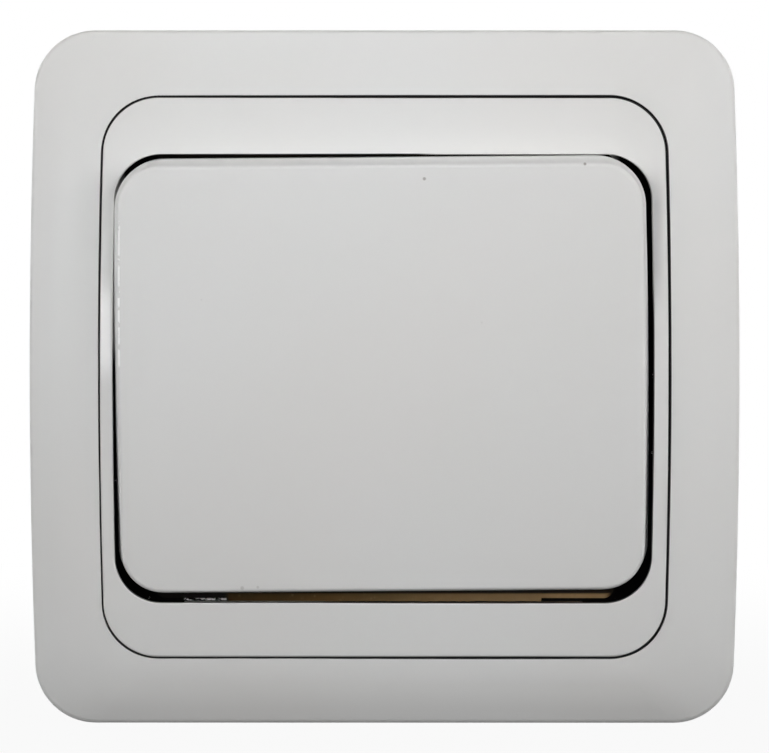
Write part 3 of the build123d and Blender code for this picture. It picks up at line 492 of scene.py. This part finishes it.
def growPiece(name, tree, inputs):  # runs a tree with its inputs and keeps the plain mesh
    seed = addObject(name + "Seed", bpy.data.meshes.new(name + "Seed"))
    modifier = seed.modifiers.new("grow", "NODES")
    modifier.node_group = tree
    for item in tree.interface.items_tree:
        if item.in_out == "INPUT":
            modifier[item.identifier] = inputs[item.name]
    seed.update_tag()
    mesh = bpy.data.meshes.new_from_object(seed.evaluated_get(bpy.context.evaluated_depsgraph_get()))
    seed.modifiers.remove(modifier)
    bpy.data.objects.remove(seed)
    mesh.name = name
    return addObject(name, mesh)


def standFor(piece, node):  # the piece takes a CAD node's place and body, and the node is hidden
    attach(piece, nodes[node].parent.name.split(":")[1])
    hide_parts(node)


def screwTree(inputs):  # rolled thread, chamfered tip and slotted pan head, with its tip at Place
    tree, graph, size = newTree("slotted machine screw", inputs)

    def shank(turn, along):
        height = along * size["Length"]
        ridge = abs((height / size["Pitch"] - turn + 20.0).wave("FRACT") - 0.5) * 2.0
        ridge = graph.ease(ridge, size["Crest"], size["Root"], curve="LINEAR")
        started = graph.ease(height, 0.0, size["Pitch"] * size["Run In"], curve="LINEAR")
        rest = size["Length"] - height
        ended = graph.ease(rest, size["Plain"], size["Plain"] + size["Pitch"], curve="LINEAR")
        tip = size["Pitch"] * size["Chamfer Turns"]
        tipped = 1.0 - graph.ease(height, 0.0, tip, size["Chamfer"], 0.0, curve="LINEAR")
        return (size["Radius"] - size["Thread Depth"] * (1.0 - ridge * started * ended)) * tipped, height

    def head(turn, along):
        under = graph.ease(along, 0.0, size["Neck Rise"], size["Neck"], 1.0)
        crown = graph.ease(along, size["Crown From"], 1.0, 0.0, 1.0, curve="LINEAR")
        edge = 1.0 - crown ** size["Crown Power"] * size["Crown Drop"]
        return size["Head Radius"] * under * edge, size["Length"] + along * size["Head Height"]

    body = turned(graph, size["Shank Sides"], size["Rows"], shank)
    top = turned(graph, size["Head Sides"], size["Head Rows"], head)
    cutSize = graph.add("ShaderNodeCombineXYZ", None, {
        0: size["Head Radius"] * size["Slot Reach"], 1: size["Slot Width"], 2: size["Slot Depth"] * 2.0})
    cutter = graph.add("GeometryNodeMeshCube", None, {"Size": cutSize})
    cutPlace = graph.add("ShaderNodeCombineXYZ", None, {2: size["Length"] + size["Head Height"]})
    cutTurn = graph.add("ShaderNodeCombineXYZ", None, {2: size["Slot Turn"]})
    cutter = graph.add("GeometryNodeTransform", None, {
        "Geometry": cutter, "Translation": cutPlace, "Rotation": cutTurn})
    top = graph.add("GeometryNodeMeshBoolean", {"operation": "DIFFERENCE"}, {0: top, 1: cutter})
    both = graph.add("GeometryNodeJoinGeometry", None, {"Geometry": [body, top]})
    placed = graph.add("GeometryNodeTransform", None, {
        "Geometry": both, "Translation": size["Place"], "Rotation": size["Lean"]})
    finishTree(graph, placed, size["Material"])
    return tree


screwSizes = {"Radius": 1.5 * mm, "Pitch": 0.7 * mm, "Thread Depth": 0.34 * mm, "Plain": 0.5 * mm,
              "Length": 18.65 * mm, "Head Radius": 2.7 * mm, "Head Height": 1.4 * mm, "Slot Width": 0.8 * mm,
              "Slot Depth": 0.9 * mm, "Slot Turn": 0.0, "Slot Reach": 2.4, "Crest": 0.12, "Root": 0.88,
              "Run In": 1.2, "Chamfer": 0.16, "Chamfer Turns": 0.8, "Neck": 0.95, "Neck Rise": 0.14,
              "Crown From": 0.5, "Crown Power": 2.6, "Crown Drop": 0.42, "Shank Sides": 49,
              "Head Sides": 65, "Head Rows": 22, "Rows": 320, "Place": (0.0, 0.0, 0.0),
              "Lean": (0.0, 0.0, 0.0), "Material": finishes["screw_steel"]}
rowsPerTurn = 12
towardsBack = {"Lean": (math.pi / 2, 0.0, 0.0)}
thicker = {"Radius": 1.75 * mm, "Head Radius": 2.8 * mm, "Head Height": 1.8 * mm}
screws = {
    "left_claw_screw": {"Slot Turn": 0.5, **towardsBack},
    "right_claw_screw": {"Slot Turn": -0.9, **towardsBack},
    "line_terminal_screw": {"Slot Turn": 0.3, **thicker},
    "load_terminal_screw": {"Slot Turn": 1.2, **thicker},
}
slottedScrew = screwTree(screwSizes)
for node, change in screws.items():
    low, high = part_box(node)
    middle = (low + high) / 2
    sizes = {**screwSizes, **change}
    if "Lean" in change:
        sizes["Place"], span = (middle.x, high.y, middle.z), high.y - low.y
    else:
        sizes["Place"], span = (middle.x, middle.y, low.z), high.z - low.z
    sizes["Length"] = span - sizes["Head Height"]
    sizes["Rows"] = round(sizes["Length"] / sizes["Pitch"] * rowsPerTurn)
    standFor(growPiece(node + "_threaded", slottedScrew, sizes), node)
print("four screws with rolled threads")

low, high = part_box("plate_rivets")
rivetSizes = {"Spread X": 32.0 * mm, "Spread Z": 43.4 * mm, "Shank": 1.2 * mm, "Head": 1.8 * mm,
              "Rise": 0.5 * mm, "Length": high.y - low.y, "Back": high.y, "Seed": 7,
              "Sides": 41, "Rows": 62, "Material": finishes["galvanised"]}


def rivetTree(inputs):  # four rivets with domed heads on both faces
    tree, graph, size = newTree("domed plate rivets", inputs)

    def rivet(turn, along):
        height = along * size["Length"]
        half = size["Length"] / 2
        fromEnd = (half - abs(height - half)) / size["Rise"]
        dome = (1.0 - (1.0 - fromEnd) ** 2.0).atLeast(0.0) ** 0.5
        headed = fromEnd < 1.0
        return (size["Head"] * dome * headed).atLeast(size["Shank"] * (1.0 - headed)), height

    solid = turned(graph, size["Sides"], size["Rows"], rivet)
    spots = graph.add("GeometryNodeMeshGrid", None, {
        "Size X": size["Spread X"], "Size Y": size["Spread Z"], "Vertices X": 2, "Vertices Y": 2})
    spin = graph.add("FunctionNodeRandomValue", {"data_type": "FLOAT"}, {
        "Min": 0.0, "Max": 6.28, "Seed": size["Seed"]})
    spun = graph.add("ShaderNodeCombineXYZ", None, {2: spin})
    row = graph.add("GeometryNodeInstanceOnPoints", None, {
        "Points": spots, "Instance": solid, "Rotation": spun})
    back = graph.add("ShaderNodeCombineXYZ", None, {1: size["Back"]})
    stood = graph.add("GeometryNodeTransform", None, {
        "Geometry": row, "Translation": back, "Rotation": (math.pi / 2, 0.0, 0.0)})
    finishTree(graph, stood, size["Material"])
    return tree


domedRivets = growPiece("plate_rivets_domed", rivetTree(rivetSizes), rivetSizes)
standFor(domedRivets, "plate_rivets")
print("four domed rivets")

springJoint = next(j for j in frame["record"]["behaviour"]["joints"] if j["name"] == "plunger_slide")
fixedEnd = springJoint["deforming_nodes"][0]["fixed_end_m"]
springSizes = {"Wire": 0.22 * mm, "Coil": 1.88 * mm, "Length": 3.32 * mm, "Turns": 4.0, "Closed": 0.6,
               "Opens From": 0.2, "Opens To": 0.8, "Steps Per Turn": 40, "Wire Sides": 14,
               "Place": tuple(fixedEnd), "Lean": (math.radians(-85.0), 0.0, 0.0),
               "Material": finishes["spring_steel"]}


def springTree(inputs):  # a compression spring whose end turns lie closer together
    tree, graph, size = newTree("closed end spring", inputs)
    reach = size["Length"] - size["Wire"] * 2.0
    coil = graph.add("GeometryNodeCurveSpiral", None, {
        "Resolution": size["Steps Per Turn"], "Rotations": size["Turns"], "Start Radius": size["Coil"],
        "End Radius": size["Coil"], "Height": reach})
    x, y, z = graph.axes(graph.add("GeometryNodeInputPosition"))
    along = z / reach
    opened = graph.ease(along, size["Opens From"], size["Opens To"])
    climb = size["Closed"] * along + (1.0 - size["Closed"]) * opened
    height = reach * climb + size["Wire"]
    place = graph.add("ShaderNodeCombineXYZ", None, {0: x, 1: y, 2: height})
    coil = graph.add("GeometryNodeSetPosition", None, {"Geometry": coil, "Position": place})
    wire = graph.add("GeometryNodeCurvePrimitiveCircle", {"mode": "RADIUS"}, {
        "Resolution": size["Wire Sides"], "Radius": size["Wire"]})
    solid = graph.add("GeometryNodeCurveToMesh", None, {
        "Curve": coil, "Profile Curve": wire, "Fill Caps": True})
    placed = graph.add("GeometryNodeTransform", None, {
        "Geometry": solid, "Translation": size["Place"], "Rotation": size["Lean"]})
    finishTree(graph, placed, size["Material"])
    return tree


coilSpring = growPiece("plunger_spring_coiled", springTree(springSizes), springSizes)
standFor(coilSpring, "plunger_spring")
squashed = 1.0 - springJoint["range_m"][1] / springSizes["Length"]
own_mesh(coilSpring)
print("plunger spring with closed ends")

cameraLook = {"distance": 0.9, "elevation": 1.6, "azimuth": 0.3, "pixelsPerMm": 8.68, "imageWidth": 769,
              "aim": (0.01 * mm, -8.65 * mm, 0.115 * mm)}


def setCamera(look):
    aim = Vector(look["aim"])
    up, turn = math.radians(look["elevation"]), math.radians(look["azimuth"])
    back = Vector((math.sin(turn) * math.cos(up), -math.cos(turn) * math.cos(up), math.sin(up)))
    data = bpy.data.cameras.new("photoCamera")
    data.sensor_width = 36.0
    data.lens = look["pixelsPerMm"] * look["distance"] / mm * data.sensor_width / look["imageWidth"]
    camera = addObject("photoCamera", data)
    camera.location = aim + look["distance"] * back
    camera.rotation_mode = "QUATERNION"
    camera.rotation_quaternion = (-back).to_track_quat("-Z", "Y")
    data.clip_start, data.clip_end = 0.01, 100.0
    bpy.context.scene.camera = camera


setCamera(cameraLook)

# Sizes and places in metres, spread in degrees, power in watts
lamps = {
    "leftFront": {"place": (-0.25, -0.48, 0.03), "size": (0.06, 0.08), "spread": 37, "power": 0.034,
                  "aim": (0, 0, 0.043)},
    "rightFront": {"place": (0.20, -0.50, 0.03), "size": (0.10, 0.08), "spread": 36, "power": 0.025,
                   "aim": (0, 0, 0.041)},
    "rightLow": {"place": (0.40, -0.35, 0.03), "size": (0.10, 0.08), "spread": 30, "power": 0.0065,
                 "aim": (0, 0, 0.024)},
    "leftStrip": {"place": (-0.45, -0.35, 0.08), "size": (0.30, 0.04), "spread": 40, "power": 0.0255,
                  "aim": (0, 0, 0.085)},
    "rightStrip": {"place": (0.45, -0.35, 0.08), "size": (0.30, 0.04), "spread": 40, "power": 0.0255,
                   "aim": (0, 0, 0.085)},
    "rightSide": {"place": (0.40, -0.13, 0.12), "size": (0.10, 0.16), "spread": 180, "power": 0.50,
                  "aim": (0, 0, 0)},
    "leftSide": {"place": (-0.40, -0.12, 0.12), "size": (0.10, 0.16), "spread": 180, "power": 0.33,
                 "aim": (0, 0, 0), "glossy": True},
    "above": {"place": (0.0, -0.30, 0.50), "size": (0.30, 0.10), "spread": 60, "power": 0.075,
              "aim": (0, 0, 0.02)},
    "backLeft": {"place": (-0.30, 0.45, 0.30), "size": (0.30, 0.30), "spread": 180, "power": 2.2,
                 "aim": (0, 0, 0)},
    "backRight": {"place": (0.40, 0.40, 0.12), "size": (0.30, 0.30), "spread": 180, "power": 1.4,
                  "aim": (0, 0, 0)},
}


def addLamp(name, look):
    data = bpy.data.lights.new(name, "AREA")
    data.shape = "RECTANGLE"
    data.size, data.size_y = look["size"]
    data.spread = math.radians(look["spread"])
    data.energy = look["power"]
    lamp = addObject(name, data)
    lamp.location = look["place"]
    lamp.visible_camera = False
    lamp.visible_glossy = look.get("glossy", False)
    lamp.rotation_mode = "QUATERNION"
    lamp.rotation_quaternion = (Vector(look["aim"]) - Vector(look["place"])).to_track_quat("-Z", "Y")


for name, look in lamps.items():
    addLamp(name, look)

roomLook = {"fill": 0.0, "floorTone": 0.18, "nearWhite": 0.94, "farFrom": 0.05, "farTo": 0.35,
            "floorSize": 8.0, "white": (1.0, 1.0, 1.0, 1.0)}


def seenShare(graph):  # 1 for camera, glossy and transmitted rays, which see plain white
    path = graph.add("ShaderNodeLightPath")
    return 1.0 - (1.0 - path) * (1.0 - path.out("Is Glossy Ray")) * (1.0 - path.out("Is Transmission Ray"))


def makeBackdrop(look):
    world = bpy.data.worlds.new("studio")
    bpy.context.scene.world = world
    graph = emptyGraph(world)
    white = graph.add("ShaderNodeBackground", None, {"Color": look["white"], "Strength": 1.0})
    soft = graph.add("ShaderNodeBackground", None, {"Color": look["white"], "Strength": look["fill"]})
    both = graph.add("ShaderNodeMixShader", None, {0: seenShare(graph), 1: soft, 2: white})
    graph.add("ShaderNodeOutputWorld", None, {"Surface": both})


def makeFloor(look):  # a pale floor that turns white away from the switch and keeps its shadow
    material = bpy.data.materials.new("pale floor")
    graph = emptyGraph(material)
    x, y, _ = graph.axes(graph.add("ShaderNodeTexCoord").out("Object"))
    reach = (x ** 2 + y ** 2) ** 0.5
    share = graph.ease(reach, look["farFrom"], look["farTo"], look["nearWhite"], 1.0)
    matt = graph.add("ShaderNodeBsdfDiffuse", None, {"Color": (look["floorTone"],) * 3 + (1,)})
    bright = graph.add("ShaderNodeEmission", None, {"Color": look["white"], "Strength": 1.0})
    both = graph.add("ShaderNodeMixShader", None, {0: seenShare(graph) * share, 1: matt, 2: bright})
    graph.add("ShaderNodeOutputMaterial", None, {"Surface": both})
    half, low = look["floorSize"] / 2, cadBox[0].z
    corners = [(-half, -half, low), (half, -half, low), (half, half, low), (-half, half, low)]
    mesh = bpy.data.meshes.new("floor")
    mesh.from_pydata(corners, [], [(0, 1, 2, 3)])
    mesh.materials.append(material)
    addObject("floor", mesh)


makeBackdrop(roomLook)
makeFloor(roomLook)
bpy.context.scene.view_settings.view_transform = "Standard"
print("camera, lamps and floor in place")
